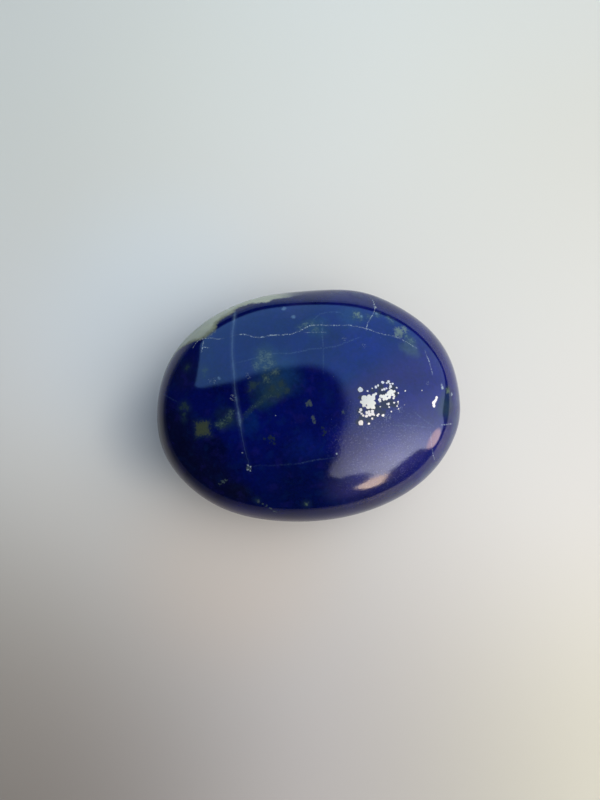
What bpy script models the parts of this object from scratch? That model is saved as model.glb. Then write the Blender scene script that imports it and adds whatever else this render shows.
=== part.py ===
# A tumbled stone of lapis lazuli, worn and polished all over, that rests on a small flat spot.
# Metres, +Z up. The long way of the stone lies along X and its width along Y. The origin is at the
# middle of the stone's box, on the surface that it rests on.

from math import cos, exp, radians, sin, sqrt

import bmesh
import bpy
from mathutils import Vector

# Sizes of the pebble before its shoulders swell and its flats are worn.
LENGTH = 0.0452
WIDTH = 0.0341
THICKNESS = 0.0162

# The widest line of the stone lies below the middle of its thickness by this share of half of it.
GIRDLE_DROP = 0.07

# How far the stone stands out of an ellipsoid midway between each two of its axes. 0 is not at all.
PLAN_PUFF = 0.16
END_PUFF = 0.30
SIDE_PUFF = 0.20

# Depth to which the underside is worn flat where the stone rests.
REST_WEAR = 0.00025

# Where tumbling left a shoulder or wore a flat: the azimuth and elevation of its middle and its
# spread, in degrees, and its height in metres, which is below 0 where stone is worn away.
WORN_PLACES = {
    "right_tip_flat": (2, 8, 14, -0.00020),
    "right_back_shoulder": (66, 8, 14, 0.00048),
    "left_back_shoulder": (104, 8, 11, 0.00026),
    "left_back_flat": (130, 8, 14, -0.00011),
    "left_tip_flat": (170, 8, 18, -0.00050),
    "left_front_flat": (214, 8, 14, -0.00034),
    "front_flat": (255, 8, 20, -0.00014),
    "right_tip_shoulder": (345, 8, 11, 0.00015),
    "left_underside_flat": (200, -48, 26, -0.00022),
    "back_underside_swell": (75, -42, 22, 0.00016),
}

# The ball that is shaped into the stone has 20 faces, each halved this many times less one.
BALL_SUBDIVISIONS = 5

# Corners closer than this along the edge of the rest spot become one.
MERGE_DISTANCE = 0.0001

ULTRAMARINE = (0.010, 0.016, 0.230, 1.0)
POLISH_ROUGHNESS = 0.12


def direction_at(azimuth, elevation):
    """Unit vector at an azimuth and an elevation in degrees."""
    across = cos(radians(elevation))
    return Vector(
        (
            across * cos(radians(azimuth)),
            across * sin(radians(azimuth)),
            sin(radians(elevation)),
        )
    )


def puffed(direction):
    """The point of the puffed unit ball in this direction.

    The ball is the surface x2 + y2 + z2 = 1 + a x2 y2 + b x2 z2 + c y2 z2, where x2 is x squared,
    so the distance to it is the smaller root of a quadratic.
    """
    xx, yy, zz = direction.x**2, direction.y**2, direction.z**2
    puff = PLAN_PUFF * xx * yy + END_PUFF * xx * zz + SIDE_PUFF * yy * zz
    return direction * sqrt(2 / (1 + sqrt(1 - 4 * puff)))


def worn_height(direction):
    """How far the worn places lift the surface in this direction."""
    height = 0.0
    for azimuth, elevation, spread, rise in WORN_PLACES.values():
        apart = direction.angle(direction_at(azimuth, elevation))
        height += rise * exp(-((apart / radians(spread)) ** 2))
    return height


def stone_point(direction):
    """The stone's surface in a direction of the ball, about the middle of its widest line."""
    ball = puffed(direction)
    half = Vector((LENGTH / 2, WIDTH / 2, THICKNESS / 2))
    point = Vector(
        (
            half.x * ball.x,
            half.y * ball.y,
            half.z * (ball.z + GIRDLE_DROP * ball.z**2),
        )
    )
    outward = Vector((ball.x / half.x, ball.y / half.y, ball.z / half.z)).normalized()
    return point + outward * worn_height(direction)


def wear_rest_spot(bm):
    """Cut the underside level, close it with one flat face and put that face at height 0."""
    level = min(vert.co.z for vert in bm.verts) + REST_WEAR
    everything = bm.verts[:] + bm.edges[:] + bm.faces[:]
    bmesh.ops.bisect_plane(
        bm,
        geom=everything,
        plane_co=(0, 0, level),
        plane_no=(0, 0, -1),
        clear_outer=True,
    )
    bmesh.ops.remove_doubles(bm, verts=bm.verts, dist=MERGE_DISTANCE)
    rim = [edge for edge in bm.edges if edge.is_boundary]
    for edge in rim:
        for vert in edge.verts:
            vert.co.z = level
    filled = bmesh.ops.contextual_create(bm, geom=rim)
    bmesh.ops.poke(bm, faces=filled["faces"])
    bmesh.ops.translate(bm, verts=bm.verts, vec=(0, 0, -level))


def centre_on_box(bm):
    """Put the middle of the stone's box over the origin."""
    across = [vert.co.x for vert in bm.verts]
    along = [vert.co.y for vert in bm.verts]
    middle = Vector((min(across) + max(across), min(along) + max(along), 0)) / 2
    bmesh.ops.translate(bm, verts=bm.verts, vec=-middle)


def lapis_material():
    """Polished deep blue stone."""
    material = bpy.data.materials.new("polished_lapis")
    material.use_nodes = True
    shader = material.node_tree.nodes["Principled BSDF"]
    shader.inputs["Base Color"].default_value = ULTRAMARINE
    shader.inputs["Roughness"].default_value = POLISH_ROUGHNESS
    shader.inputs["Metallic"].default_value = 0.0
    material.diffuse_color = ULTRAMARINE
    return material


def lapis_stone():
    """The whole stone, as one closed solid."""
    bm = bmesh.new()
    bmesh.ops.create_icosphere(bm, subdivisions=BALL_SUBDIVISIONS, radius=1)
    for vert in bm.verts:
        vert.co = stone_point(vert.co.normalized())
    wear_rest_spot(bm)
    centre_on_box(bm)
    bmesh.ops.recalc_face_normals(bm, faces=bm.faces)
    mesh = bpy.data.meshes.new("lapis_stone")
    bm.to_mesh(mesh)
    bm.free()
    mesh.materials.append(lapis_material())
    mesh.shade_smooth()
    mesh.set_sharp_from_angle(angle=radians(30))
    stone = bpy.data.objects.new("lapis_stone", mesh)
    bpy.context.scene.collection.objects.link(stone)
    return stone


for old in list(bpy.data.objects):
    bpy.data.objects.remove(old, do_unlink=True)
lapis_stone()
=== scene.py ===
import math

import bpy
from mathutils import Matrix, Vector
from mathutils.bvhtree import BVHTree


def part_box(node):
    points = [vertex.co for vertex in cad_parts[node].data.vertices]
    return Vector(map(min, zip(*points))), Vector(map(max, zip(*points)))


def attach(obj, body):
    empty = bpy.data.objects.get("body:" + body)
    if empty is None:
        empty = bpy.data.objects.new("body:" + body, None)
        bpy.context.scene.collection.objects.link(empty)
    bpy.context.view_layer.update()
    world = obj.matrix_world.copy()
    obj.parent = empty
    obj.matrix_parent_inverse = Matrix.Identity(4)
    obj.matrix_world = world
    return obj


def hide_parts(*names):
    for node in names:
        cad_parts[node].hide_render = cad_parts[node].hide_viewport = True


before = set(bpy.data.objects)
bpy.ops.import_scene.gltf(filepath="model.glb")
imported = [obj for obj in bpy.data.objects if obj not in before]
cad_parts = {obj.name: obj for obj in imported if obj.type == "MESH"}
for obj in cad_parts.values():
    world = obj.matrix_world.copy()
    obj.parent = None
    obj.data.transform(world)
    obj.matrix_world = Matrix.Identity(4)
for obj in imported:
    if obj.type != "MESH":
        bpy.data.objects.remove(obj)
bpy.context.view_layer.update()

stoneLow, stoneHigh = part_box("lapis_stone")
mm = 0.001


class Wire:
    # A value or a vector on its way through a node tree, so that shader maths reads as Python.
    def __init__(self, tree, socket):
        self.tree, self.socket = tree, socket

    @property
    def isVector(self):
        return self.socket.type in ("VECTOR", "RGBA")

    def node(self, kind, settings=None, values=None, out=0):
        made = self.tree.nodes.new(kind)
        for name, value in (settings or {}).items():
            if name == "path":  # of a float curve: (input, output), both from 0 to 1
                curve = made.mapping.curves[0]
                while len(curve.points) < len(value):
                    curve.points.new(0.5, 0.5)
                for point, (across, up) in zip(curve.points, value):
                    point.location = (across, up)
                    point.handle_type = "AUTO_CLAMPED"
                made.mapping.update()
            else:
                setattr(made, name, value)
        for name, value in (values or {}).items():
            entry = made.inputs[name]
            if isinstance(value, Wire):
                self.tree.links.new(value.socket, entry)
            elif entry.type == "RGBA":
                entry.default_value = (*value[:3], 1.0)
            else:
                entry.default_value = value
        return Wire(self.tree, made.outputs[out])

    def maths(self, operation, *terms):
        return self.node("ShaderNodeMath", {"operation": operation}, dict(enumerate(terms)))

    def vectors(self, operation, *terms, out=0):
        return self.node("ShaderNodeVectorMath", {"operation": operation}, dict(enumerate(terms)), out)

    def both(self, operation, one, other):
        plain = (tuple, Vector)
        vector = any(isinstance(x, plain) or isinstance(x, Wire) and x.isVector for x in (one, other))
        return self.vectors(operation, one, other) if vector else self.maths(operation, one, other)

    def __add__(self, other):
        return self.both("ADD", self, other)

    def __radd__(self, other):
        return self.both("ADD", other, self)

    def __sub__(self, other):
        return self.both("SUBTRACT", self, other)

    def __rsub__(self, other):
        return self.both("SUBTRACT", other, self)

    def __mul__(self, other):
        otherIsVector = isinstance(other, (tuple, Vector)) or isinstance(other, Wire) and other.isVector
        if self.isVector and not otherIsVector:
            return self.node("ShaderNodeVectorMath", {"operation": "SCALE"}, {0: self, "Scale": other})
        if isinstance(other, Wire) and other.isVector and not self.isVector:
            return other * self
        return self.both("MULTIPLY", self, other)

    __rmul__ = __mul__

    def __truediv__(self, other):
        return self.both("DIVIDE", self, other)

    def __rtruediv__(self, other):
        return self.both("DIVIDE", other, self)

    def __pow__(self, other):
        return self.maths("POWER", self, other)

    def __neg__(self):
        return self * -1.0

    def __abs__(self):
        return self.maths("ABSOLUTE", self)

    def least(self, other):
        return self.maths("MINIMUM", self, other)

    def most(self, other):
        return self.maths("MAXIMUM", self, other)

    def step(self, low, high):  # 0 at low, 1 at high and smooth between
        kind = {"interpolation_type": "SMOOTHSTEP"}
        return self.node("ShaderNodeMapRange", kind, {"Value": self, "From Min": low, "From Max": high})

    def curve(self, low, high, marks):  # smooth through (input, output) marks, inputs from low to high
        top = max(value for at, value in marks) or 1.0
        path = [((at - low) / (high - low), value / top) for at, value in marks]
        share = ((self - low) / (high - low)).most(0.0).least(1.0)
        return self.node("ShaderNodeFloatCurve", {"path": path}, {"Value": share}) * top

    def noise(self, size, detail=2.0, rough=0.5, out=0):  # around 0.5, with lumps of about this size
        values = {"Vector": self, "Scale": 1 / size, "Detail": detail, "Roughness": rough}
        return self.node("ShaderNodeTexNoise", None, values, out)

    def drift(self, size, reach):  # a place pushed about by up to this reach
        return self + (self.noise(size, out=1) - (0.5, 0.5, 0.5)) * (2.0 * reach)

    def parts(self):
        made = self.tree.nodes.new("ShaderNodeSeparateXYZ")
        self.tree.links.new(self.socket, made.inputs[0])
        return [Wire(self.tree, out) for out in made.outputs]

    def joined(self, x, y, z):
        return self.node("ShaderNodeCombineXYZ", None, {0: x, 1: y, 2: z})

    def distance(self, other):
        return self.vectors("DISTANCE", self, other, out=1)

    def unit(self):
        return self.vectors("NORMALIZE", self)

    def dot(self, other):
        return self.vectors("DOT_PRODUCT", self, other, out=1)

    def mix(self, one, other):  # of two colours, self being the share of the other
        return self.node("ShaderNodeMix", {"data_type": "RGBA"}, {0: self, 6: one, 7: other}, 2)


def srgb(*parts):  # a colour read off a screen, 0 to 255, as light
    parts = [part / 255 for part in parts]
    return tuple(c / 12.92 if c <= 0.04045 else ((c + 0.055) / 1.055) ** 2.4 for c in parts)


def addObject(name, data):
    made = bpy.data.objects.new(name, data)
    bpy.context.scene.collection.objects.link(made)
    return made


def newMaterial(name):
    made = bpy.data.materials.new(name)
    made.use_nodes = True
    made.node_tree.nodes.clear()
    return made


def objectPlace(tree):
    return Wire(tree, tree.nodes.new("ShaderNodeTexCoord").outputs["Object"])


def endMaterial(shader):
    end = shader.tree.nodes.new("ShaderNodeOutputMaterial")
    shader.tree.links.new(shader.socket, end.inputs["Surface"])


# The stone's own shape: a puffed pebble with worn shoulders and flats, as the solid has.
stoneShape = {
    "longHalf": 22.65 * mm,
    "wideHalf": 17.05 * mm,
    "thickHalf": 8.1 * mm,
    "girdleDrop": 0.07,  # share of the half thickness that the widest line lies below the middle
    "planPuff": 0.16,
    "endPuff": 0.3,
    "sidePuff": 0.2,
    "wornPlaces": {  # azimuth, elevation, spread in degrees and height
        "rightTipFlat": (2, 8, 14, -0.11 * mm),
        "rightTipCrown": (12, 32, 12, 0.17 * mm),
        "rightBackShoulder": (66, 8, 14, 0.48 * mm),
        "leftBackShoulder": (106, 16, 14, 0.28 * mm),
        "leftBackCrown": (126, 20, 13, 0.13 * mm),
        "leftTipFlat": (169, -6, 21, -0.82 * mm),
        "leftFrontFlat": (214, -6, 17, -0.47 * mm),
        "frontFlat": (255, 8, 20, -0.14 * mm),
        "rightTipShoulder": (345, 8, 11, 0.15 * mm),
        "leftUndersideFlat": (200, -48, 26, -0.22 * mm),
        "backUndersideSwell": (75, -42, 22, 0.16 * mm),
    },
    "restEdge": 0.03 * mm,  # how softly the rest spot runs into the underside
    "rippleHeight": 0.012 * mm,  # gentle waves that the tumbling leaves
    "rippleSize": 1.5,
    "cuts": 128,  # corners along each side of the cube that is blown up into the stone
}


def directionAt(azimuth, elevation):
    turn, rise = math.radians(azimuth), math.radians(elevation)
    return Vector((math.cos(rise) * math.cos(turn), math.cos(rise) * math.sin(turn), math.sin(rise)))


def pebbleTree(shape):
    tree = bpy.data.node_groups.new("tumbledPebble", "GeometryNodeTree")
    tree.interface.new_socket("Geometry", in_out="OUTPUT", socket_type="NodeSocketGeometry")
    sizes = ("longHalf", "wideHalf", "thickHalf", "girdleDrop", "planPuff", "endPuff", "sidePuff")
    sizes += ("restLevel", "restEdge", "rippleHeight", "rippleSize")
    for name in sizes:
        tree.interface.new_socket(name, in_out="INPUT", socket_type="NodeSocketFloat")
    tree.interface.new_socket("cuts", in_out="INPUT", socket_type="NodeSocketInt")
    tree.interface.new_socket("finish", in_out="INPUT", socket_type="NodeSocketMaterial")
    given = tree.nodes.new("NodeGroupInput")
    size = {name: Wire(tree, given.outputs[name]) for name in (*sizes, "cuts", "finish")}
    start = size["longHalf"]

    cuts = size["cuts"]
    cube = start.node(
        "GeometryNodeMeshCube",
        None,
        {"Size": (2.0, 2.0, 2.0), "Vertices X": cuts, "Vertices Y": cuts, "Vertices Z": cuts},
    )
    corner = start.node("GeometryNodeInputPosition")
    even = corner * (math.pi / 4)
    direction = even.vectors("TANGENT", even).unit()  # the tangent spaces the corners evenly over the ball
    xx, yy, zz = (direction * direction).parts()
    puff = xx * yy * size["planPuff"] + xx * zz * size["endPuff"] + yy * zz * size["sidePuff"]
    reach = (2.0 / (1.0 + (1.0 - puff * 4.0) ** 0.5)) ** 0.5
    x, y, z = (direction * reach).parts()
    point = start.joined(
        x * size["longHalf"],
        y * size["wideHalf"],
        (z + z * z * size["girdleDrop"]) * size["thickHalf"],
    )
    outward = start.joined(x / size["longHalf"], y / size["wideHalf"], z / size["thickHalf"]).unit()

    lift = None
    for azimuth, elevation, spread, rise in shape["wornPlaces"].values():
        apart = direction.dot(directionAt(azimuth, elevation)).least(1.0)
        apart = apart.maths("ARCCOSINE", apart) / math.radians(spread)
        swell = apart.maths("EXPONENT", -(apart * apart)) * rise
        lift = swell if lift is None else lift + swell
    ripple = start.node(
        "ShaderNodeTexNoise",
        None,
        {"Vector": direction, "Scale": size["rippleSize"], "Detail": 1.0, "Roughness": 0.4},
    )
    lift = lift + (ripple - 0.5) * size["rippleHeight"] * 2.0
    point = point + outward * lift

    # The rest spot: height is held at a level, with a soft edge round it.
    x, y, z = point.parts()
    above = (z - size["restLevel"]) / size["restEdge"]
    softly = above.maths("EXPONENT", above.least(30.0)) + 1.0
    softly = softly.maths("LOGARITHM", softly, math.e)
    z = above.most(softly) * size["restEdge"]
    settled = start.joined(x, y, z)
    shaped = start.node("GeometryNodeSetPosition", None, {"Geometry": cube, "Position": settled})

    box = tree.nodes.new("GeometryNodeBoundBox")
    tree.links.new(shaped.socket, box.inputs["Geometry"])
    low, high = Wire(tree, box.outputs["Min"]), Wire(tree, box.outputs["Max"])
    offset = (low + high) * (-0.5, -0.5, 0.0)
    centred = start.node("GeometryNodeSetPosition", None, {"Geometry": shaped, "Offset": offset})
    smooth = start.node("GeometryNodeSetShadeSmooth", None, {"Geometry": centred, "Shade Smooth": True})
    real = start.node("GeometryNodeRealizeInstances", None, {"Geometry": smooth})
    finished = start.node("GeometryNodeSetMaterial", None, {"Geometry": real, "Material": size["finish"]})
    result = tree.nodes.new("NodeGroupOutput")
    tree.links.new(finished.socket, result.inputs[0])
    return tree


def makeStone(shape, finish):
    tree = pebbleTree(shape)
    seed = addObject("pebbleSeed", bpy.data.meshes.new("pebbleSeed"))
    grow = seed.modifiers.new("pebble", "NODES")
    grow.node_group = tree
    top = shape["thickHalf"] * (1 + shape["girdleDrop"])
    values = dict(shape, restLevel=top - (stoneHigh.z - stoneLow.z), finish=finish)
    for item in tree.interface.items_tree:
        if item.in_out == "INPUT":
            grow[item.identifier] = values[item.name]
    bpy.context.view_layer.update()
    grown = seed.evaluated_get(bpy.context.evaluated_depsgraph_get())
    mesh = bpy.data.meshes.new_from_object(grown)
    bpy.data.objects.remove(seed)
    return addObject("lapis_stone_polished", mesh)


def mapForBake(stone, shape, margin=0.96):  # the top half above, the bottom half below
    mesh = stone.data
    sizes = Vector((shape["longHalf"], shape["wideHalf"], shape["thickHalf"]))
    middle = (stoneLow.z + stoneHigh.z) / 2
    layer = mesh.uv_layers.new(name="OFBake")
    ball = []
    for vert in mesh.vertices:
        lifted = vert.co - Vector((0, 0, middle))
        ball.append(Vector((lifted.x / sizes.x, lifted.y / sizes.y, lifted.z / sizes.z)).normalized())
    places = [0.0] * (2 * len(mesh.loops))
    for face in mesh.polygons:
        upper = sum(ball[corner].z for corner in face.vertices) > 0
        for loop, corner in zip(face.loop_indices, face.vertices):
            way = ball[corner]
            tilt = math.acos(max(-1.0, min(1.0, way.z if upper else -way.z))) / (math.pi / 2)
            across = math.hypot(way.x, way.y) or 1.0
            reach = tilt * margin / 2 / across
            places[2 * loop] = 0.5 + way.x * reach * (1 if upper else -1)
            places[2 * loop + 1] = (0.75 if upper else 0.25) + way.y * reach / 2
    layer.data.foreach_set("uv", places)


# The camera, where the photograph was taken from.
cameraLook = {
    "pictureWidth": 600,
    "pictureHeight": 800,
    "lens": 27.0,  # for a long side of 36 mm
    "distance": 88.6 * mm,  # from the lens to the middle of the stone
    "lean": 4.0,  # degrees off straight down, towards the bottom of the picture
    "turn": 5.72,  # degrees that the stone's long way climbs to the right
    "stoneAt": (308.6, 404.9),  # pixel of the stone's middle
}


def fromMiddle(look, x, y):  # a pixel as steps to the right and up, one step ahead of the lens
    focal = look["lens"] / 36.0 * look["pictureHeight"]
    return Vector(((x - look["pictureWidth"] / 2) / focal, (look["pictureHeight"] / 2 - y) / focal, -1.0))


def makeCamera(look):
    made = addObject("camera", bpy.data.cameras.new("camera"))
    made.data.lens = look["lens"]
    made.data.sensor_width = 36.0
    made.data.clip_start = 0.001
    made.data.clip_end = 20.0
    lean = Matrix.Rotation(math.radians(look["lean"]), 4, "X")
    turned = Matrix.Rotation(math.radians(-look["turn"]), 4, "Z") @ lean
    middle = Vector((0.0, 0.0, (stoneLow.z + stoneHigh.z) / 2))
    reach = fromMiddle(look, *look["stoneAt"]) * look["distance"]
    made.matrix_world = Matrix.Translation(middle - turned @ reach) @ turned
    bpy.context.scene.camera = made
    return made


def surfacePicker(look, camera, stone):  # where a pixel lies on the stone, and how wide it is there, in mm
    mesh = stone.data
    surface = BVHTree.FromPolygons([v.co for v in mesh.vertices], [p.vertices for p in mesh.polygons])
    eye = camera.matrix_world.translation

    def pick(x, y):
        sight = (camera.matrix_world.to_3x3() @ fromMiddle(look, x, y)).normalized()
        spot = surface.ray_cast(eye, sight)[0]
        if spot is None:
            raise ValueError(f"pixel {x}, {y} is off the stone")
        return spot / mm, (spot - eye).length / mm * abs(fromMiddle(look, 1, 0).x - fromMiddle(look, 0, 0).x)

    return pick


# The room: a big soft window in front and to the right, a blue sky behind, and dark on the maker's side.
# Azimuth is 0 to the right of the picture and 90 at its top, as the stone mirrors it.
roomLight = {
    "dim": (0.01, 0.016, 0.024),
    "lowFront": (0.44, 0.39, 0.56),  # under the front window
    "lowFrontFrom": (276, 290),
    "sky": (0.42, 1.02, 2.2),
    "skyEnds": [(26, 56), (176, 170)],  # azimuths where it starts and is full, at each end
    "side": (0.85, 1.15, 2.1),
    "sideEnds": [(300, 350), (56, 26)],
    "glare": (5.8, 5.8, 6.9),
    "glareAround": [
        (0, 0.09), (6, 0.05), (16, 0), (270, 0), (282, 0.4), (290, 0.6), (297, 0.86), (306, 1),
        (315, 1), (324, 0.84), (336, 0.56), (348, 0.22), (354, 0.14), (360, 0.09),
    ],
    "glareUp": [(0, 1), (28, 1), (38, 0.93), (50, 0.64), (60, 0.4), (70, 0.2), (78, 0.05), (90, 0)],
    "roof": [
        (0, 77), (38, 75.5), (54, 73), (70, 70), (86, 67.5), (100, 67), (124, 64.5), (134, 63),
        (144.5, 60), (151, 55.5), (155, 51), (159, 45), (162, 36), (280, 36), (283, 44), (285, 50),
        (288, 56), (294, 60.5), (300, 65.5), (306, 70), (312, 72), (330, 75), (360, 77),
    ],
    "sill": [
        (0, 13), (6, 10), (14, 7), (30, 6), (105, 6), (116, 7), (127, 8), (133, 9), (136.5, 15),
        (140, 23), (145.5, 30.4), (152, 35.5), (156, 37.4), (160, 39), (162, 60), (279, 60), (284, 48),
        (288, 42), (291, 30), (294, 21), (300, 18), (304, 21), (308, 27), (313, 29.5), (322, 29),
        (328, 26), (331, 18), (334, 8), (340, 6), (350, 8), (356, 14), (360, 13),
    ],
    "roofSoft": 2.6,  # how far its edge runs out to either side, in degrees
    "sillSoft": 1.2,
    "notch": (292, 35.5, 9.5, 7.5),  # a dark corner of the window: azimuth, elevation and half sizes
    "notchDark": 0.93,
    "warmPatches": {  # the same, and the colour
        "frontPatch": (300, 22, 8.0, 9.0, (12.0, 8.8, 6.6)),
        "sidePatch": (338, 13, 7.2, 8.0, (8.6, 6.2, 5.8)),
    },
    "lamp": (6, 30, 3.2, (3.5, 3.32, 3.2)),  # for matt things: azimuth, elevation, sharpness and colour
    "fill": (0.26, 0.29, 0.33),  # and the light from everywhere else
    "backdrop": srgb(222, 223, 222),
}


def lightRoom(look, turn):
    world = bpy.data.worlds.new("room")
    bpy.context.scene.world = world
    world.use_nodes = True
    tree = world.node_tree
    tree.nodes.clear()
    direction = Wire(tree, tree.nodes.new("ShaderNodeTexCoord").outputs["Generated"])
    x, y, z = direction.parts()
    azimuth = y.maths("ARCTAN2", y, x) * (0.5 / math.pi) + turn / 360 + 1.0
    azimuth = azimuth.maths("FRACT", azimuth) * 360.0
    elevation = z.maths("ARCSINE", z) * (180 / math.pi)

    def near(azimuthAt, elevationAt, halfWide, halfHigh):  # 1 inside a soft oval of the room
        wide = (azimuth - azimuthAt) / halfWide
        high = (elevation - elevationAt) / halfHigh
        return (wide * wide + high * high).step(1.35, 0.65)

    roofSoft, sillSoft = look["roofSoft"], look["sillSoft"]
    overSill = (elevation - azimuth.curve(0, 360, look["sill"])).step(-sillSoft, sillSoft)
    inRoom = (elevation - azimuth.curve(0, 360, look["roof"])).step(roofSoft, -roofSoft) * overSill
    glare = azimuth.curve(0, 360, look["glareAround"]) * elevation.curve(0, 90, look["glareUp"])
    sideStart, sideEnd = look["sideEnds"]
    side = azimuth.step(*sideEnd) + azimuth.step(*sideStart)
    skyStart, skyEnd = look["skyEnds"]
    back = azimuth.step(*skyStart) * azimuth.step(*skyEnd)
    colour = back.joined(*look["sky"]) * back + side.joined(*look["side"]) * side
    colour = colour + glare.joined(*look["glare"]) * glare
    for *oval, shine in look["warmPatches"].values():
        colour = near(*oval).mix(colour, shine)
    inRoom = inRoom * (1.0 - near(*look["notch"]) * look["notchDark"])
    dim = azimuth.step(*look["lowFrontFrom"]) * elevation.step(52, 34) * (elevation.step(6, 24) * 0.75 + 0.25)
    dim = dim.mix(look["dim"], look["lowFront"])
    colour = inRoom.mix(dim, colour)
    lampAt, lampUp, sharpness, lamp = look["lamp"]
    facing = direction.dot(directionAt(lampAt - turn, lampUp)).most(0.0) ** sharpness
    soft = facing.joined(*lamp) * facing + look["fill"]
    rays = tree.nodes.new("ShaderNodeLightPath")
    colour = Wire(tree, rays.outputs["Is Glossy Ray"]).mix(soft, colour)
    colour = Wire(tree, rays.outputs["Is Camera Ray"]).mix(colour, look["backdrop"])
    shine = colour.node("ShaderNodeBackground", None, {"Color": colour, "Strength": 1.0})
    end = tree.nodes.new("ShaderNodeOutputWorld")
    tree.links.new(shine.socket, end.inputs["Surface"])


# What the markings are drawn on. Sizes and places are in mm from here on.
groundLook = {
    "wholeTurn": 365.7,  # from the stone's azimuth to the picture's, and once round
    "ragged": [(0.5, 0.1), (0.16, 0.05)],  # lumps and how far they push a place about
    "frayed": [(1.6, 0.25), (0.45, 0.16)],
    "crumbSize": 0.3,
    "beadSize": 0.2,
}


# Each mark is picked at a pixel of the photograph, and lies on the stone there.
class Ground:
    def __init__(self, material, pick, look):
        self.pick = pick
        self.place = objectPlace(material.node_tree) * (1 / mm)
        self.x, self.y, self.z = self.place.parts()
        self.azimuth = self.y.maths("ARCTAN2", self.y, self.x) * (180 / math.pi)
        turned = (self.azimuth + look["wholeTurn"]) / 360.0
        self.turned = turned.maths("FRACT", turned) * 360.0
        self.ragged = self.pushed(look["ragged"])
        self.frayed = self.pushed(look["frayed"])
        self.crumbs = self.place.noise(look["crumbSize"], detail=4.0, rough=0.7) - 0.5
        self.beads = self.place.noise(look["beadSize"], detail=2.0, rough=0.6)

    def pushed(self, drifts):
        place = self.place
        for size, reach in drifts:
            place = place.drift(size, reach)
        return place

    def spots(self, place, marks, melt=0.06):  # how far outside the nearest of some round spots, in mm
        found = None
        for x, y, radius in marks:
            middle, pixel = self.pick(x, y)
            gap = place.distance(middle) - radius * pixel
            found = gap if found is None else gap.maths("SMOOTH_MIN", found, gap, melt)
        return found

    def inside(self, gap, fray, start, full):  # 1 where the gap is small, with crumbs along the edge
        return (gap + self.crumbs * fray).step(start, full)

    def trail(self, place, marks):  # how far beside a drawn line a point lies, in mm, and its strength
        points = [(*self.pick(x, y)[0], strength) for x, y, strength in marks]
        wide, high = (max(point[i] for point in points) - min(point[i] for point in points) for i in (0, 1))
        axis = 0 if wide > high else 1
        points.sort(key=lambda point: point[axis])
        across = 1 - axis
        start, end = points[0][axis], points[-1][axis]
        low = min(point[across] for point in points) - 0.2
        coordinates = place.parts()
        line = coordinates[axis].curve(start, end, [(point[axis], point[across] - low) for point in points])
        strength = coordinates[axis].curve(start, end, [(point[axis], point[3]) for point in points])
        return abs(coordinates[across] - low - line), strength

    def cells(self, place, perMm):  # the distance to the nearest of some scattered points
        values = {"Vector": place, "Scale": perMm, "Randomness": 1.0}
        return place.node("ShaderNodeTexVoronoi", {"feature": "F1"}, values)


bodyLook = {
    "deepBlue": (0.0004, 0.0028, 0.074),
    "violetBlue": (0.003, 0.005, 0.1),
    "violetFrom": (318, 395, 372, 388),  # pixels that the change to violet runs from and to
    "cloudSize": 5.0,
    "cloudDepth": 1.3,
    "speckSize": 0.5,
    "speckDepth": 1.1,
    "darkest": 0.3,
    "mottle": 0.22,
    "mottleSize": 1.7,
    "mottleViolet": (0.012, 0.009, 0.115),
    "mottleTeal": (0.002, 0.014, 0.075),
    "zoneDrifts": [(3.0, 1.1), (0.9, 0.25)],
    "zoneEdge": (1.15, 0.35),  # where a zone starts and is full, as shares of its radius
    "zones": {  # pixel, radius in pixels, strength, colour
        "lowerDark": (300, 505, 66, 0.75, (0.0005, 0.003, 0.04)),
        "lowerRim": (385, 497, 40, 0.7, (0.0015, 0.003, 0.05)),
        # painted shade: darker on the left and its foot, the side away from the lamp, over the stone's own
        # darker blue there
        "shadedLeftSide": (172, 440, 46, 0.85, (0.0016, 0.0024, 0.018)),
        "shadedLeftFoot": (205, 480, 42, 0.8, (0.0022, 0.003, 0.02)),
        "tealHeart": (279, 374, 27, 0.85, (0.005, 0.026, 0.085)),
        "tealUpper": (264, 357, 16, 0.6, (0.012, 0.04, 0.08)),
        "tealByVein": (249, 423, 14, 0.8, (0.001, 0.011, 0.085)),
        "tealStreak": (263, 398, 15, 0.7, (0.006, 0.026, 0.058)),
        "oliveHeart": (272, 388, 17, 0.6, (0.012, 0.034, 0.052)),
        "oliveBreath": (226, 418, 13, 0.55, (0.006, 0.018, 0.04)),
        "tealLace": (318, 327, 15, 0.7, (0.006, 0.03, 0.075)),
        "tealBranch": (352, 318, 17, 0.5, (0.006, 0.03, 0.08)),
        "greyTeal": (411, 348, 13, 0.75, (0.03, 0.06, 0.085)),
        "rimTeal": (447, 406, 15, 0.85, (0.01, 0.03, 0.05)),
        # painted shade again on the left flank and the foot, away from the lamp, over the stone's own darker
        # blue
        "shadedLeftFlank": (183, 374, 24, 0.7, (0.003, 0.005, 0.038)),
        "shadedLeftPool": (214, 447, 15, 0.7, (0.0001, 0.0016, 0.02)),
        "shadedFoot": (238, 494, 18, 0.8, (0.0028, 0.0036, 0.018)),
        # lighter violet on the top rim: partly the stone's own violet, partly painted reflection of the
        # window light
        "topRimSheen": (298, 309, 15, 0.6, (0.011, 0.012, 0.11)),
        "hazeBlue": (303, 448, 22, 0.4, (0.0025, 0.01, 0.115)),
        "brightBlue": (360, 350, 26, 0.6, (0.002, 0.004, 0.15)),
    },
}


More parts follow.
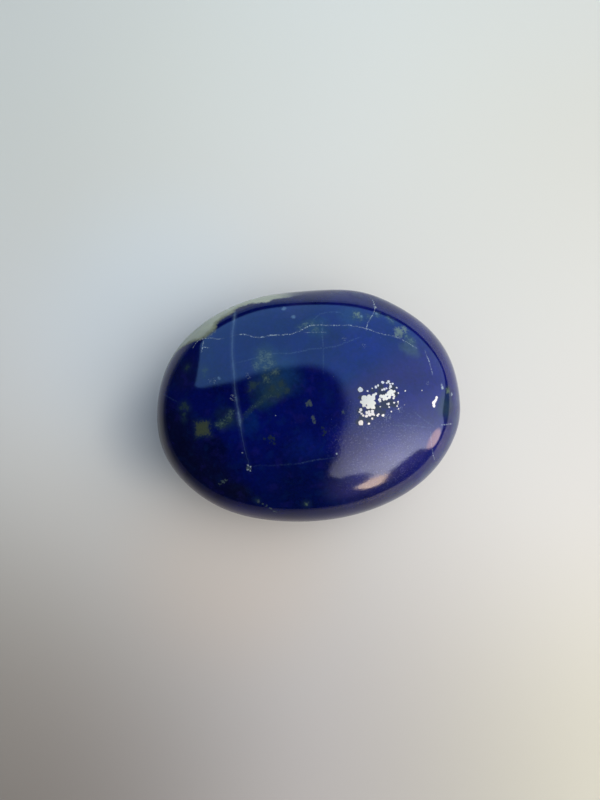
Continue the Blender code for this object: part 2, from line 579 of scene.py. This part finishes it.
def paintBody(ground, look):
    place, pick = ground.place, ground.pick
    start, end = (pick(*look["violetFrom"][i : i + 2])[0] for i in (0, 2))
    along = end - start
    clouds = place.noise(look["cloudSize"], detail=4.0, rough=0.55)
    share = (place - start).dot(along / along.length_squared) + (clouds - 0.5) * 1.2
    colour = share.step(-0.2, 1.2).mix(look["deepBlue"], look["violetBlue"])
    swayed = ground.pushed(look["zoneDrifts"])
    for x, y, radius, strength, tint in look["zones"].values():
        middle, pixel = pick(x, y)
        within = swayed.distance(middle) / (radius * pixel)
        colour = (within.step(*look["zoneEdge"]) * strength).mix(colour, tint)
    mottle = place.noise(look["mottleSize"], detail=3.0, rough=0.6)
    colour = (mottle.step(0.52, 0.68) * look["mottle"]).mix(colour, look["mottleViolet"])
    colour = (mottle.step(0.48, 0.34) * look["mottle"]).mix(colour, look["mottleTeal"])
    specks = place.noise(look["speckSize"], detail=4.0, rough=0.65)
    shade = (clouds - 0.5) * look["cloudDepth"] + (specks - 0.5) * look["speckDepth"] + 1.0
    return colour * shade.most(look["darkest"])


patchLook = {
    "olive": (0.018, 0.037, 0.043),
    "squareOlive": (0.044, 0.06, 0.036),
    "paleOlive": (0.075, 0.125, 0.105),
    "brightOlive": (0.14, 0.2, 0.13),
    "breath": (0.01, 0.028, 0.05),
    "streak": (0.014, 0.036, 0.05),
    "paleDot": (0.115, 0.205, 0.33),
    "breathRound": {"olives": 0.35, "paleOlives": 0.5},
    "melt": 0.2,  # mm across which spots run together
    "edges": {  # how much crumbs fray an edge, and the gaps where a spot starts and is full
        "olives": (1.5, 0.16, -0.22),
        "oliveSquare": (1.8, 0.3, -0.3),
        "paleOlives": (2.6, 0.3, -0.5),
        "brightOlives": (2.0, 0.25, -0.35),
        "paleDots": (0.5, 0.12, -0.18),
    },
    # Each spot is (x, y, radius) in pixels, and each point of a line (x, y, strength).
    "oliveSquare": (202.6, 428.6, 6.4),
    "olives": [
        (184, 405.5, 3.4), (187, 408, 2.4), (181, 407.5, 2.2), (183.6, 414, 1.7), (184, 419, 1.2),
        (222, 425, 3.4), (229, 420, 3.4), (187, 367.5, 2.4), (204.4, 370, 2.9), (204, 375.6, 1.2),
        (253, 385, 4), (259, 383, 1.8), (250, 390, 1.3), (272, 388, 3.6), (281, 384, 3.6),
        (287, 391, 3), (448, 390.6, 3), (265, 376, 1.8), (278, 395, 2.6), (306.6, 504.3, 2.6),
        (160.6, 428, 1.8), (257, 500, 1.4),
    ],
    "paleOlives": [
        (262, 358.5, 4.2), (268, 356.5, 4.3), (271, 363, 3.6), (257.5, 366, 3.2), (266, 367, 2.6),
        (305, 325.2, 3), (300, 327.8, 1.8), (311, 323.6, 2.1), (316, 329, 2), (356.6, 313.6, 2.8),
        (360, 317.2, 2.7), (354, 317.2, 1.6), (368.5, 316.6, 1.9), (377.6, 314.6, 2.3),
        (391.2, 320.6, 2.2), (388.4, 318, 1.5), (411, 340.5, 2.8), (406.6, 336, 2.2), (275, 372, 3.5),
        (267, 379, 2.6), (220.6, 424, 1.7), (216.5, 424.8, 1), (225, 421.5, 1.1), (228.4, 416.5, 1.5),
        (231, 412.6, 2.1), (256, 364, 2.2), (261, 352.6, 2.2),
    ],
    "brightOlives": [
        (399, 331, 4.4), (404, 329.5, 3), (396.6, 334.6, 2.6), (357, 314.4, 2.4), (400.6, 335, 1.8),
        (306.8, 504, 0.9), (447.6, 391, 2),
    ],
    "paleDots": [
        (293.3, 316.9, 2.3), (284, 308.6, 2.4), (376.4, 313.6, 1.6), (219, 378, 1.6), (361.4, 316, 1.4),
    ],
    "streakLine": [
        (241, 420, 0), (246, 414.6, 0.6), (254, 407, 1), (262, 400, 1), (270, 395, 1),
        (279, 390.6, 0.8), (290, 388, 0),
    ],
}


def paintPatches(colour, ground, look):  # olive patches, ragged and mottled, with a teal breath round them
    frayed, crumbs, beads = ground.frayed, ground.crumbs, ground.beads
    melt, edges = look["melt"], look["edges"]
    x, y, radius = look["oliveSquare"]
    middle, pixel = ground.pick(x, y)
    fromSquare = frayed - middle
    across, up, _ = fromSquare.vectors("ABSOLUTE", fromSquare).parts()
    square = across.most(up) - radius * pixel
    gap = ground.spots(frayed, look["olives"], melt)
    colour = (gap.least(square).step(0.9, -0.2) * look["breathRound"]["olives"]).mix(colour, look["breath"])
    olive = ground.inside(gap, *edges["olives"]) * (0.75 + crumbs)
    colour = olive.least(0.95).mix(colour, look["olive"])
    squareOlive = ground.inside(square, *edges["oliveSquare"]) * (0.9 + crumbs * 0.8)
    colour = squareOlive.least(0.95).mix(colour, look["squareOlive"])
    gap = ground.spots(frayed, look["paleOlives"], melt)
    colour = (gap.step(0.8, -0.2) * look["breathRound"]["paleOlives"]).mix(colour, look["breath"])
    dusty = ground.inside(gap, *edges["paleOlives"]) * (0.35 + beads.step(0.35, 0.7) * 0.65)
    colour = (dusty * 0.8).mix(colour, look["paleOlive"])
    bright = ground.inside(ground.spots(frayed, look["brightOlives"], melt), *edges["brightOlives"])
    colour = (bright * (0.7 + crumbs)).least(0.9).mix(colour, look["brightOlive"])
    pale = ground.inside(ground.spots(ground.ragged, look["paleDots"]), *edges["paleDots"])
    colour = (pale * 0.55).mix(colour, look["paleDot"])
    side, strength = ground.trail(frayed, look["streakLine"])
    streak = (side + crumbs * 0.9).step(0.75, 0.05) * strength
    colour = (streak * (0.55 + crumbs * 1.2)).most(0.0).mix(colour, look["streak"])
    colour = (streak * beads.step(0.55, 0.72) * 0.45).mix(colour, look["paleOlive"])
    return colour, olive


veinLook = {
    "paleBlue": (0.115, 0.205, 0.33),
    "chalk": (0.42, 0.52, 0.56),
    "thin": ["arc", "loop", "foot", "leftHair", "plumb", "scratch", "hairAcross", "hairDown"],
    "chalky": [
        "lace", "knotUp", "knotDown", "knotSide", "lowerLace", "rimCrossing", "branch", "rimUpright",
        "rightBeads",
    ],
    "strengths": {"halo": 0.16, "heart": 0.15, "thin": 0.6, "chalk": 0.75, "scribbles": 0.42},
    "widths": {"halo": 0.6, "core": 0.3, "heart": 0.14, "thin": 0.16, "chalk": 0.13},  # in mm to each side
    # Each line is drawn through (x, y, strength) pixels.
    "mainVein": [
        (235, 308, 0), (234.8, 313, 0.6), (234.4, 318, 1), (233.8, 323, 0.8), (232.8, 332, 0.65),
        (232.2, 345, 0.6), (232.4, 357, 0.55), (233.2, 366, 0.7), (234.2, 376, 0.55), (234.6, 386, 0.4),
        (235.8, 395, 0.5), (236.4, 400, 0.75), (237.2, 405, 0.5), (238.7, 413, 0.95), (239.6, 419, 1),
        (240.6, 427, 0.5), (242, 436, 0.2), (244, 446, 0.16), (246.6, 457, 0.14), (248.8, 465, 0.14),
        (250, 476, 0),
    ],
    "lace": [
        (200, 341, 0), (204, 338.6, 0.9), (208, 338.2, 0.4), (213, 338.4, 0.55), (220, 338.8, 0.5),
        (224, 338, 0.05), (238, 334.8, 0.05), (242, 334.4, 0.9), (245.5, 334.6, 0.9),
        (248.5, 335.2, 0.15), (253, 336.6, 0.75), (258, 337.3, 0.6), (263, 337, 0.75), (266, 336.2, 0.15),
        (270, 335.4, 0.85), (277, 335, 0.85), (281, 335, 0.2), (285, 334.6, 1), (290, 334.2, 0.7),
        (296, 332.2, 0.9), (301, 330.4, 0.95), (306, 327.6, 0.9), (312, 325.4, 0.85), (318, 325, 0.3),
        (324, 325.2, 0.75), (330, 325.3, 0.35), (335, 325.4, 0.6), (342, 325.3, 0.3), (349, 325.2, 0.7),
        (355, 326.2, 0.3), (366, 328.6, 0.45), (380, 333.4, 0.35), (391, 335.6, 0.35), (398, 337.4, 0.5),
        (405, 341.4, 0.45), (413, 346, 0.6), (418, 349, 0),
    ],
    "knotUp": [(192.4, 349, 0), (194, 346, 0.8), (198, 341, 0.7), (202.4, 338.6, 0.9), (207, 338, 0)],
    "knotDown": [(203.8, 340, 0), (203.2, 343, 0.7), (202.8, 347, 0.9), (201.6, 351, 0.4), (201.2, 353, 0)],
    "knotSide": [(203.6, 346.8, 0), (205, 347.4, 0.7), (208.4, 348, 0.5), (210, 348, 0)],
    "branch": [
        (366, 331.5, 0), (366.4, 328, 0.6), (367.2, 324.5, 0.7), (369.2, 320, 0.55), (372, 315.8, 0.6),
        (374.2, 311, 0.8), (375, 306.8, 1), (374, 303, 0.8), (372, 299.5, 0.45), (369, 295.5, 0),
    ],
    "lowerLace": [
        (303, 332.6, 0), (308, 332.3, 0.3), (315, 332.4, 0.15), (322, 332.2, 0.35), (327, 332.5, 0),
    ],
    "plumb": [
        (322.6, 321, 0), (322.4, 326, 0.5), (322.2, 334, 0.4), (323, 345, 0.3), (323.3, 358, 0.25),
        (323.2, 368, 0.2), (323, 376, 0),
    ],
    "arc": [
        (234, 363.4, 0), (237, 362.6, 0.3), (250, 359.6, 0.35), (262, 356.6, 0.15), (275, 353.6, 0.3),
        (290, 353.2, 0.4), (303, 351, 0.45), (312, 348.9, 0.4), (322, 348.1, 0.4), (334, 346.6, 0.35),
        (345, 342.8, 0.5), (354, 339.5, 0.4), (362, 336.6, 0),
    ],
    "loop": [
        (312.5, 320, 0), (316, 317.2, 0.4), (322, 313.6, 0.4), (330, 312.2, 0.35), (338, 312, 0.4),
        (342, 313.6, 0.3), (344.5, 315.5, 0),
    ],
    "foot": [
        (250, 466.4, 0), (258, 465.6, 0.14), (270, 465.6, 0.1), (283, 464.9, 0.14), (296, 463.8, 0.18),
        (308, 461.6, 0.3), (318, 459.6, 0.25), (329, 458.2, 0.2), (338, 457, 0),
    ],
    "leftHair": [(161, 393, 0), (166, 395.6, 0.3), (172, 399, 0.25), (181, 404, 0)],
    "rimCrossing": [
        (440.5, 424.7, 0), (443, 424.9, 0.9), (447, 424.4, 0.6), (450.5, 423.9, 0.7), (453, 423.5, 0),
    ],
    "rimUpright": [(432.2, 449, 0), (432.8, 453, 0.8), (434, 457, 0.7), (434.8, 461.5, 0)],
    "rightBeads": [
        (424.5, 349, 0), (426.5, 355, 0.4), (429.3, 361.5, 0.7), (430.8, 367, 0.3), (432, 372, 0.4),
        (433, 376, 0),
    ],
    "scratch": [(430.4, 431, 0), (430.7, 434, 0.8), (431.2, 441, 0.6), (431.8, 447, 0.8), (432, 450, 0)],
    "hairAcross": [
        (392, 424.6, 0), (402, 425.6, 0.5), (414, 425.6, 0.35), (426, 427.4, 0.3), (434, 428, 0),
    ],
    "hairDown": [(414, 412, 0), (420, 416.6, 0.5), (429, 423.4, 0.4), (436, 428, 0)],
    # Each spot is (x, y, radius) in pixels.
    "chalks": [
        (248, 465.2, 1), (250.5, 467, 0.9), (247.8, 469.4, 1), (250.2, 470.8, 0.7),
        (242.5, 452.8, 0.7), (336.8, 453.6, 1), (442.4, 387.8, 1.7), (441.6, 385, 1),
        (451.6, 394.2, 1.6), (275.5, 415.5, 0.4), (375.1, 307, 1.5),
    ],
    "scribbles": [
        (209.6, 381, 2.8), (214.6, 380.6, 3), (246.6, 375, 2.4), (249.4, 377.6, 2.6), (233, 397.5, 3.4),
        (344, 338.4, 2.6), (364, 346, 2.4), (387, 417, 4.6), (400, 409, 3.6), (427.6, 383, 2.6),
    ],
}


def paintVeins(colour, ground, look):  # the main one with a soft halo, the others thin and beaded
    ragged, beads, strengths, widths = ground.ragged, ground.beads, look["strengths"], look["widths"]
    side, strength = ground.trail(ragged, look["mainVein"])
    halo = side.step(widths["halo"], 0.0) * strength * strengths["halo"]
    core = side.step(strength * widths["core"] + 0.02, 0.01)
    core = core * (strength * 0.4 + 0.3) * (0.1 + beads * 0.5)
    core = core * strength.step(0.0, 0.2)
    colour = (halo + core).least(1.0).mix(colour, look["paleBlue"])
    heart = side.step(widths["heart"], 0.02) * (strength - 0.7).step(0.0, 0.35) * beads.step(0.42, 0.62)
    colour = (heart * strengths["heart"]).mix(colour, look["chalk"])

    def bundle(names, start, full, beading):
        found = None
        for name in names:
            side, strength = ground.trail(ragged, look[name])
            line = side.step(start, full) * strength * beading
            found = line if found is None else found.most(line)
        return found

    thin = bundle(look["thin"], widths["thin"], 0.02, beads.step(0.3, 0.75))
    colour = (thin * strengths["thin"]).mix(colour, look["paleBlue"])
    chalk = bundle(look["chalky"], widths["chalk"], 0.01, 0.1 + beads.step(0.47, 0.6) * 1.2)
    scribble = (ground.place * (1.0, 1.0, 0.5)).noise(0.16, detail=3.0, rough=0.6).step(0.54, 0.62)
    scribble = ground.spots(ground.frayed, look["scribbles"]).step(0.1, -0.25) * scribble
    chalk = chalk.most(scribble * strengths["scribbles"])
    chalk = chalk.most(ground.spots(ragged, look["chalks"]).step(0.06, -0.08) * beads.step(0.3, 0.6))
    return (chalk * strengths["chalk"]).least(1.0).mix(colour, look["chalk"])


dustLook = {
    "dust": (0.22, 0.26, 0.42),
    "dustPerMm": 1.5,
    "dustEdge": (0.085, 0.03),
    "dustyPatches": 2.2,
    # colour of the painted glints
    "glint": (0.075, 0.085, 0.2),
    "scuffs": (385, 452, 60),  # pixel and radius of the scuffed place
}


def paintDust(colour, ground, look):  # pale dust, mostly to the right, and painted glints of light where the polish is scuffed
    place = ground.place
    rare = place.noise(look["dustyPatches"], detail=2.0).step(0.48, 0.7) * (ground.x + 6.0).step(-6.0, 14.0)
    dust = ground.cells(ground.ragged, look["dustPerMm"]).step(*look["dustEdge"])
    colour = (dust * rare * 0.5).mix(colour, look["dust"])
    x, y, radius = look["scuffs"]
    middle, pixel = ground.pick(x, y)
    scuffed = (place.drift(4.0, 2.0).distance(middle) / (radius * pixel)).step(1.2, 0.3)
    glints = ground.beads.step(0.54, 0.7) * scuffed
    return (glints * 0.75).mix(colour, look["glint"]), scuffed


undersideLook = {
    "from": (6.5, 3),  # heights in mm where it starts and is full
    "patchSize": 7.0,
    "teal": (0.005, 0.024, 0.075),
    "olive": (0.044, 0.06, 0.036),
    "paleBlue": (0.115, 0.205, 0.33),
    "veinSize": 14.0,
    "veins": {"long": 0.01, "fine": 0.005},  # widths, as shares of the pattern
    "veinShifts": {"long": (3.0, 50.0, 7.0), "fine": (70.0, 12.0, 31.0)},
    "grainsPerMm": 1.3,
    "crowdSize": 3.5,
}


def paintUnderside(colour, ground, look):  # it and the lower flanks go on with the same markings, by rule
    place, crumbs = ground.place, ground.crumbs
    hidden = ground.z.step(*look["from"])
    patchy = (place + (31.0, 7.0, 3.0)).drift(2.0, 0.8).noise(look["patchSize"], detail=4.0, rough=0.65)
    teal = patchy.step(0.54, 0.66) * hidden
    colour = (teal * 0.6).mix(colour, look["teal"])
    patch = (patchy + crumbs * 0.12).step(0.62, 0.68) * hidden
    colour = (patch * (0.6 + crumbs)).least(0.9).mix(colour, look["olive"])
    for shift, width in look["veins"].items():
        wander = place.drift(2.4, 0.9) + look["veinShifts"][shift]
        vein = abs(wander.noise(look["veinSize"], detail=1.0) - 0.5).step(width, 0.0)
        vein = vein * hidden * ground.beads.step(0.25, 0.65)
        colour = (vein * 0.5).mix(colour, look["paleBlue"])
    grains = ground.cells(ground.ragged + (5.0, 9.0, 2.0), look["grainsPerMm"])
    crowd = (place + (13.0, 40.0, 5.0)).noise(look["crowdSize"], detail=2.0).step(0.58, 0.66) * hidden
    return colour, grains.step(0.26, 0.2) * crowd


rimSheenLook = {  # painted reflection of the bright right side: paler clouds along the widest line, round the right end
    "tint": (0.034, 0.058, 0.125),
    "cloudSize": 2.6,
    "fadeUp": (11.8, 9.6),  # heights in mm
    "fadeDown": (5.0, 6.6),
    "around": [
        (0, 1), (30, 0.55), (60, 0.9), (84, 0.6), (100, 0.2), (112, 0), (270, 0), (300, 0.3),
        (330, 0.9), (360, 1),
    ],
}


def paintRimSheen(colour, ground, look):
    z = ground.z
    # painted reflection: a pale band along the widest line, strongest at the right end
    sheen = z.step(*look["fadeUp"]) * z.step(*look["fadeDown"])
    sheen = sheen * ground.turned.curve(0, 360, look["around"])
    cloudy = (ground.place * (1.0, 1.0, 1.6)).drift(3.0, 1.2)
    cloudy = cloudy.noise(look["cloudSize"], detail=4.0, rough=0.6).step(0.42, 0.62)
    return (sheen * (0.12 + cloudy * 0.75)).mix(colour, look["tint"])


calciteLook = {  # the band round the left of the back
    "cream": (0.42, 0.49, 0.39),
    "stain": (0.13, 0.15, 0.05),
    "cloud": (0.12, 0.17, 0.24),
    # the upper edge as pixels, then by azimuth the height in mm of the lower edge and how whole the band is
    "edge": [
        (175, 354.2), (180, 349.6), (187, 345), (196, 341), (205, 338.6), (210, 336), (215.6, 330),
        (219, 322.6), (225, 317.6), (231, 314), (240, 307.6), (250, 304), (260, 303), (267.6, 302.6),
        (273, 300), (280, 298.8), (292, 297), (303, 294.6),
    ],
    "foot": [(84, 9), (97, 8.6), (108, 7.6), (120, 6.6), (135, 6.2), (148, 6.8), (160, 8.2), (170, 9.5)],
    "whole": [
        (84, 0), (90, 0.15), (97, 0.6), (104, 0.9), (118, 1), (133, 1), (140, 0.95), (147, 0.85),
        (158, 0.7), (164, 0.4), (170, 0),
    ],
}


def paintCalcite(colour, ground, look):
    place, crumbs, azimuth, z = ground.place, ground.crumbs, ground.azimuth, ground.z
    edge = []
    for column, row in look["edge"]:
        spot = ground.pick(column, row)[0]
        edge.append((math.degrees(math.atan2(spot.y, spot.x)), spot.z))
    edge.sort()
    upper = azimuth.curve(edge[0][0], edge[-1][0], edge)
    start, end = look["foot"][0][0], look["foot"][-1][0]
    lower = azimuth.curve(start, end, look["foot"])
    wavy = (place.noise(1.2, detail=3.0) - 0.5) * 1.6
    below = upper - z + wavy * 0.3
    above = z - lower + wavy * 1.3
    band = (below + crumbs * 0.5).step(-0.15, 0.3) * (above + crumbs).step(-0.6, 0.6)
    band = band * azimuth.curve(start, end, look["whole"])
    band = band * (place.noise(2.0, detail=3.0) * 0.5 + 0.7).least(1.0)
    stain = (below + wavy * 0.3).step(0.85, 0.05) * azimuth.step(112, 128)
    stain = stain.most(above.step(1.6, 0.2) * 0.8)
    bluish = (place * (1.0, 1.0, 2.2)).drift(1.0, 0.4).noise(1.6, detail=4.0, rough=0.6).step(0.54, 0.7)
    cream = (bluish * z.step(9.0, 7.5) * 0.5).mix(look["cream"], look["cloud"])
    return (band * 0.92).mix(colour, (stain * 0.75).mix(cream, look["stain"])), band


pyriteLook = {
    "gold": (0.8, 0.67, 0.41),
    "pale": (0.74, 0.62, 0.42),
    "chipped": [(0.5, 0.12), (0.16, 0.055)],  # lumps and how far they push an edge about
    "melt": 0.03,
    "flecks": {  # melt, edge, strength and colour
        "matrices": (0.25, (0.5, 0.14, -0.24), 0.85, (0.007, 0.01, 0.009)),
        "dull": (0.1, (1.1, 0.1, -0.12), 0.9, (0.045, 0.066, 0.075)),
        "dark": (0.1, (1.2, 0.12, -0.14), 0.8, (0.012, 0.022, 0.03)),
    },
    # Each spot is (x, y, radius) in pixels.
    "goldGrains": [
        (364.5, 398.4, 3.1), (369.1, 397.6, 3.1), (373.0, 398.2, 2.6), (361.6, 402, 1.6),
        (365.5, 402.9, 3.8), (370, 402, 4), (373.9, 402.9, 2.1), (368.2, 406.4, 2.4),
        (372.3, 406.2, 2.8), (374.3, 407.7, 1.4), (363.2, 405.8, 1), (375.8, 394.0, 1.5),
        (373.6, 395.3, 1.7), (383.6, 396.6, 2), (380.9, 396.4, 1.8), (386.4, 395.0, 1.7),
        (386.4, 398.2, 2.1), (383.6, 399.1, 1.4), (379.6, 399.4, 1.6), (380.2, 401.6, 1),
        (389.1, 397.7, 1.6), (391.2, 391.6, 2.5), (394, 391.3, 1.2), (393.2, 394.6, 1.5),
        (389.1, 393.2, 2.2), (390, 395.4, 2), (394.5, 396.5, 1), (393.6, 398.3, 1),
    ],
    "paleGrains": [
        (360.6, 389.7, 2.5), (367.7, 391.1, 0.8), (372.3, 388.4, 0.6), (375.9, 387, 1.3),
        (378.2, 385.5, 1.1), (382.7, 382.5, 1.5), (388.5, 381.5, 1.3), (386.8, 382.9, 0.9),
        (390.1, 383.8, 1), (390.6, 386.5, 1.4), (389.5, 388.4, 0.9), (392.5, 383.8, 1.1),
        (396.8, 387.6, 0.9), (398.4, 393.1, 0.9), (405, 390.8, 0.8), (382.2, 389.8, 1),
        (384.2, 389.3, 1.2), (386.6, 388.6, 1), (360.9, 409.7, 1.5), (359.6, 412, 1.1),
        (361.4, 413.8, 1), (363.2, 415.5, 1.1), (366.4, 416, 1.6), (369.5, 414.3, 2),
        (366.8, 412.5, 1.5), (372.3, 411.1, 1.5), (372.7, 413.8, 1.7), (369.1, 411.4, 1.3),
        (374.1, 415.2, 0.8), (360.9, 422.6, 2.3), (359.6, 424.4, 0.9), (362.4, 424, 1),
        (369.1, 423.5, 1.2), (372.3, 418.6, 1.1), (377.7, 415.2, 1.2), (378.9, 414, 0.8),
        (383.2, 415.5, 1.4), (391.2, 411.3, 0.8), (380.5, 406.5, 0.7), (388.6, 404, 1.3),
        (389.3, 407, 0.8), (386.8, 404.3, 0.6), (394, 402.6, 0.9), (397.9, 401.6, 0.9), (397.2, 406, 0.8),
        (398.4, 408.8, 0.6), (397.9, 403.8, 0.5), (404.5, 404.7, 0.3), (421.8, 390.4, 0.6),
        (436.6, 397.4, 1.3), (436.3, 399.4, 1.3), (435.2, 401, 1.5), (433.6, 402.9, 1.9),
        (434, 405.6, 1.7),
    ],
    "holes": [
        (376.9, 397.6, 1.9), (378.6, 393.4, 1.4), (381.4, 393, 1.7), (384.2, 392.4, 1.3),
        (382.1, 400.1, 0.6), (391.6, 396.4, 0.8), (366.4, 405.3, 0.7), (387.4, 396.6, 0.5),
        (364.8, 410.4, 1), (363.4, 412.6, 0.9),
    ],
    "dull": [
        (258.6, 501.6, 1.5), (262.4, 504, 1.1), (266.4, 506, 1.2), (270.6, 508.6, 1.3), (275, 511.4, 1.4),
        (222.6, 481.8, 1.6), (225.6, 480.2, 1.2), (219.4, 484, 0.9), (309.4, 402.6, 2.2),
        (307.2, 404.4, 1.4), (310.6, 405.2, 1.6), (312.6, 416.8, 1.2), (313.6, 419.2, 1.2),
        (314.6, 422, 0.9), (343.3, 411.6, 0.9), (344.2, 413.6, 0.7), (247.8, 467.6, 1.4),
        (250, 469.4, 1.2),
    ],
    "dark": [
        (263.6, 438.8, 1.4), (270, 437.4, 1.9), (273.6, 438.2, 2), (271.6, 440.6, 1.6),
        (274.2, 443.4, 1.5), (322.6, 428.4, 1.2), (324.4, 432.2, 1.6), (323.8, 435, 1),
    ],
    "matrices": [
        (380, 386.8, 4.2), (391.6, 388.6, 4.6), (381.6, 392.6, 5), (372.2, 390.8, 2.6),
        (395.6, 394.4, 3), (385, 404.4, 5.6), (391, 402, 4.2), (377.6, 408.6, 4.8), (381.6, 412.6, 3.8),
        (373, 415.6, 4.2), (360.4, 411, 4), (358.2, 422.6, 3.2), (368.2, 420, 3.6), (362, 418, 3.6),
        (394.2, 404.8, 3), (360.4, 397.4, 2.8), (370, 409.4, 4), (397.4, 403.6, 2),
        (360.6, 389.9, 3.4), (388, 382.6, 2.8),
    ],
}


def paintPyrite(colour, ground, look, speck):  # flush with the polish, in a dark matrix
    for name, (melt, edge, strength, tint) in look["flecks"].items():
        place = ground.ragged if name == "dull" else ground.frayed
        fleck = ground.inside(ground.spots(place, look[name], melt), *edge)
        colour = (fleck * strength).mix(colour, tint)
    chipped, melt = ground.pushed(look["chipped"]), look["melt"]
    holes = ground.spots(chipped, look["holes"], melt)
    gold = ground.spots(chipped, look["goldGrains"], melt).most(-holes)
    gold = gold + (ground.beads - 0.64).most(0.0) * 1.6
    pale = ground.spots(chipped, look["paleGrains"], melt)
    metal = gold.least(pale).step(0.035, -0.035).most(speck)
    shine = (gold - pale).step(-0.1, 0.1).mix(look["gold"], look["pale"])
    return metal.mix(colour, shine), metal


polishLook = {  # how rough each thing makes the surface
    "gloss": 0.055,
    "scuffed": 0.05,
    "olive": 0.05,
    "calcite": 0.15,
    "pyrite": 0.2,
    "grain": 0.03,
    "grainSize": 0.14,
    "bumpSize": 0.35,
    "bumps": (0.001, 0.007),  # height in mm, and how much more where scuffed
    "flankTop": 11.0,  # height in mm up to which the flank is less polished
    "flankWear": [
        (0, 0), (120, 0), (150, 0.15), (170, 0.15), (190, 0.15), (205, 0.2), (240, 0.2), (285, 0.18),
        (300, 0.08), (320, 0), (360, 0),
    ],
    "restWear": 0.25,
}


def polish(ground, look, scuffed, olive, band, metal):  # how rough the surface is, and its fine bumps
    z = ground.z
    grain = ground.place.noise(look["grainSize"], detail=2.0, rough=0.7)
    roughness = look["gloss"] + scuffed * look["scuffed"] + grain * look["grain"]
    roughness = roughness + olive * look["olive"] + band * look["calcite"]
    worn = ground.turned.curve(0, 360, look["flankWear"]) * z.step(look["flankTop"], look["flankTop"] - 3.0)
    roughness = roughness + worn + z.step(0.4, 0.0) * look["restWear"] + metal * look["pyrite"]
    even, more = look["bumps"]
    bumps = (ground.place.noise(look["bumpSize"], detail=2.0) - 0.5) * (even + scuffed * more)
    return roughness, bumps.node("ShaderNodeBump", None, {"Strength": 1.0, "Distance": mm, "Height": bumps})


def paintLapis(material, pick):
    ground = Ground(material, pick, groundLook)
    colour = paintBody(ground, bodyLook)
    colour, olive = paintPatches(colour, ground, patchLook)
    colour = paintVeins(colour, ground, veinLook)
    colour, scuffed = paintDust(colour, ground, dustLook)
    colour, speck = paintUnderside(colour, ground, undersideLook)
    colour = paintRimSheen(colour, ground, rimSheenLook)
    colour, band = paintCalcite(colour, ground, calciteLook)
    colour, metal = paintPyrite(colour, ground, pyriteLook, speck)
    roughness, normal = polish(ground, polishLook, scuffed, olive, band, metal)
    values = {"Base Color": colour, "Roughness": roughness, "Metallic": metal, "IOR": 1.5, "Normal": normal}
    endMaterial(colour.node("ShaderNodeBsdfPrincipled", None, values))


# The table that the stone lies on, with painted shade and light in its colour. Its places are in mm to the
# right and up the picture from the stone.
tableLook = {
    "half": 3.0,
    "pale": 0.75,
    # tints of the light, painted into the table's colour
    "cool": (0.91, 1.0, 1.03),
    "warm": (1.08, 1.0, 0.87),
    "coolFrom": (-0.45, 0.89, -80, 80),  # towards, and how far that way the change runs
    "leftShadeTone": (-80, 50, 0.78, 1.0),  # painted shade, darker to the left away from the lamp: from, to and the two tones
    "rightGlow": (40, 160, 0.22),  # nearer to the lamp
    # towards, from, to and the tone there, where the room gets dark
    "farShades": [(0.8, 0.6, -112, -25, 0.35), (-0.7, 0.71, 130, 80, 0.6), (-1, 0, 110, 58, 0.6)],
    "pools": {  # painted shadows, pools of light and tints of the light: middle, radius and tint
        "nearShade": (-8, -68, 62, (0.66, 0.67, 0.72)),
        "nearGlow": (-12, -24, 20, (1.04, 0.98, 0.93)),
        # painted light: cool light spilling from the window onto the left
        "leftWindowSpill": (-24, 12, 26, (1.0, 1.06, 1.13)),
        "leftShadow": (-25, -4, 9, (0.8, 0.82, 0.85)),
        # painted shadow darkening the lower left corner
        "lowLeftShade": (-54, -56, 50, (0.72, 0.69, 0.66)),
        # painted tints of the light in the corners and to the right
        "topRight": (45, 70, 75, (1.0, 0.98, 0.9)),
        "topLeft": (-45, 62, 52, (1.0, 0.98, 0.9)),
        "topMiddle": (0, 55, 45, (1.05, 1.06, 1.06)),
        "lowRight": (50, -66, 46, (0.95, 0.98, 0.9)),
        "right": (45, 0, 45, (1.02, 1.04, 1.06)),
    },
    "roughness": 0.5,
    "ior": 1.45,
}


def layTable(look, turn):
    made = newMaterial("paleTable")
    place = objectPlace(made.node_tree) * (1 / mm)
    right, up = directionAt(-turn, 0), directionAt(90 - turn, 0)

    def along(x, y):
        return place.dot(right * x + up * y)

    # painted light colour: cooler towards the back left, warmer towards the front right
    x, y, start, end = look["coolFrom"]
    colour = along(x, y).step(start, end).mix(look["warm"], look["cool"])
    # painted shade and light: darker to the left, lighter near the lamp, and dark far off where the room gets
    # dark
    start, end, low, high = look["leftShadeTone"]
    tone = along(1, 0).step(start, end) * (high - low) + low
    start, end, glow = look["rightGlow"]
    tone = tone + along(1, 0).step(start, end) * glow
    for x, y, start, end, dark in look["farShades"]:
        tone = tone * (along(x, y).step(start, end) * (1 - dark) + dark)
    # painted shadows and pools of light on the table
    for x, y, radius, tint in look["pools"].values():
        apart = place.distance(right * x + up * y) / radius
        colour = colour * apart.step(1.2, 0.2).mix((1.0, 1.0, 1.0), tint)
    colour = colour * (tone * look["pale"])
    values = {"Base Color": colour, "Roughness": look["roughness"], "IOR": look["ior"]}
    endMaterial(colour.node("ShaderNodeBsdfPrincipled", None, values))
    mesh = bpy.data.meshes.new("table")
    half = look["half"]
    corners = [(-half, -half, 0), (half, -half, 0), (half, half, 0), (-half, half, 0)]
    mesh.from_pydata(corners, [], [(0, 1, 2, 3)])
    mesh.materials.append(made)
    table = addObject("table", mesh)


bpy.context.scene.view_settings.view_transform = "Standard"
camera = makeCamera(cameraLook)
lightRoom(roomLight, cameraLook["turn"])
layTable(tableLook, cameraLook["turn"])
print("camera, room and table are ready")
lapis = newMaterial("polishedLapis")
stone = makeStone(stoneShape, lapis)
mapForBake(stone, stoneShape)
print("stone made with", len(stone.data.polygons), "faces")
paintLapis(lapis, surfacePicker(cameraLook, camera, stone))
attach(stone, "root")
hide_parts("lapis_stone")
print("stone painted with", len(lapis.node_tree.nodes), "nodes")
